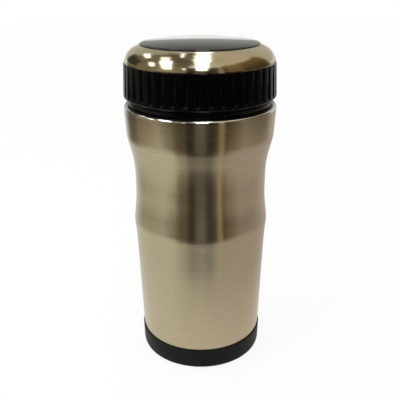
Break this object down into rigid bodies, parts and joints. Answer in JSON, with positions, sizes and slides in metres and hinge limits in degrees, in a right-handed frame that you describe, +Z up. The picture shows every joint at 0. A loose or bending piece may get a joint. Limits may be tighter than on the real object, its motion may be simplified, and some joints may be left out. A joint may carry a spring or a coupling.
{
  "type": "insulated travel tumbler",
  "caption": "Waisted double-wall steel travel tumbler with a ribbed screw-on lid, domed lid cap and black base; keeps a drink hot and fits a car cup holder.",
  "frame": {"origin": "middle of the underside, on the surface that the tumbler stands on", "axes": "+Z up along the tumbler's axis; -Y towards the front that the picture shows; +X to that view's right"},
  "size_m": [0.0803, 0.0802, 0.177],
  "materials": {
    "brushed_body_steel": "brushed round the body, clear and warm-toned",
    "liner_steel": "electropolished",
    "dome_steel": "polished with a faint brushing",
    "radiation_foil": "bright foil",
    "solder": "dull solder",
    "getter_metal": "sintered",
    "collar_plastic": "moulded, satin",
    "base_plastic": "moulded, satin",
    "adhesive": "cured adhesive",
    "pad_rubber": "matt",
    "seal_silicone": "satin silicone",
    "insulation_foam": "expanded polystyrene beads",
    "grip_plastic": "moulded, gloss",
    "disc_plastic": "polished, gloss"
  },
  "bodies": {
    "tumbler": {"outer_shell": "brushed_body_steel", "inner_liner": "liner_steel", "liner_floor": "liner_steel", "radiation_foil": "radiation_foil", "bottom_plate": "liner_steel", "vacuum_seal": "solder", "getter": "getter_metal", "getter_clip": "liner_steel", "mouth_collar": "collar_plastic", "base_cap": "base_plastic", "base_bond": "adhesive", "foot_pad": "pad_rubber"},
    "seal": {"plug_seal": "seal_silicone"},
    "lid": {"lid_plug": "collar_plastic", "plug_insulation": "insulation_foam", "lid_grip": "grip_plastic", "dome_bond": "adhesive", "lid_dome": "dome_steel", "disc_bond": "adhesive", "disc_inlay": "disc_plastic"}
  },
  "joints": [
    {"name": "lid_lift", "type": "slide", "parent": "tumbler", "child": "seal", "axis": [0, 0, 1], "range_m": [0, 0.0241]},
    {"name": "lid_turn", "type": "hinge", "parent": "seal", "child": "lid", "pos_m": [0, 0, 0.145], "axis": [0, 0, 1], "range_deg": [0, 720]}
  ],
  "couplings": [
    {"joint": "lid_lift", "follows": "lid_turn", "m_per_rad": 0.0019099}
  ]
}
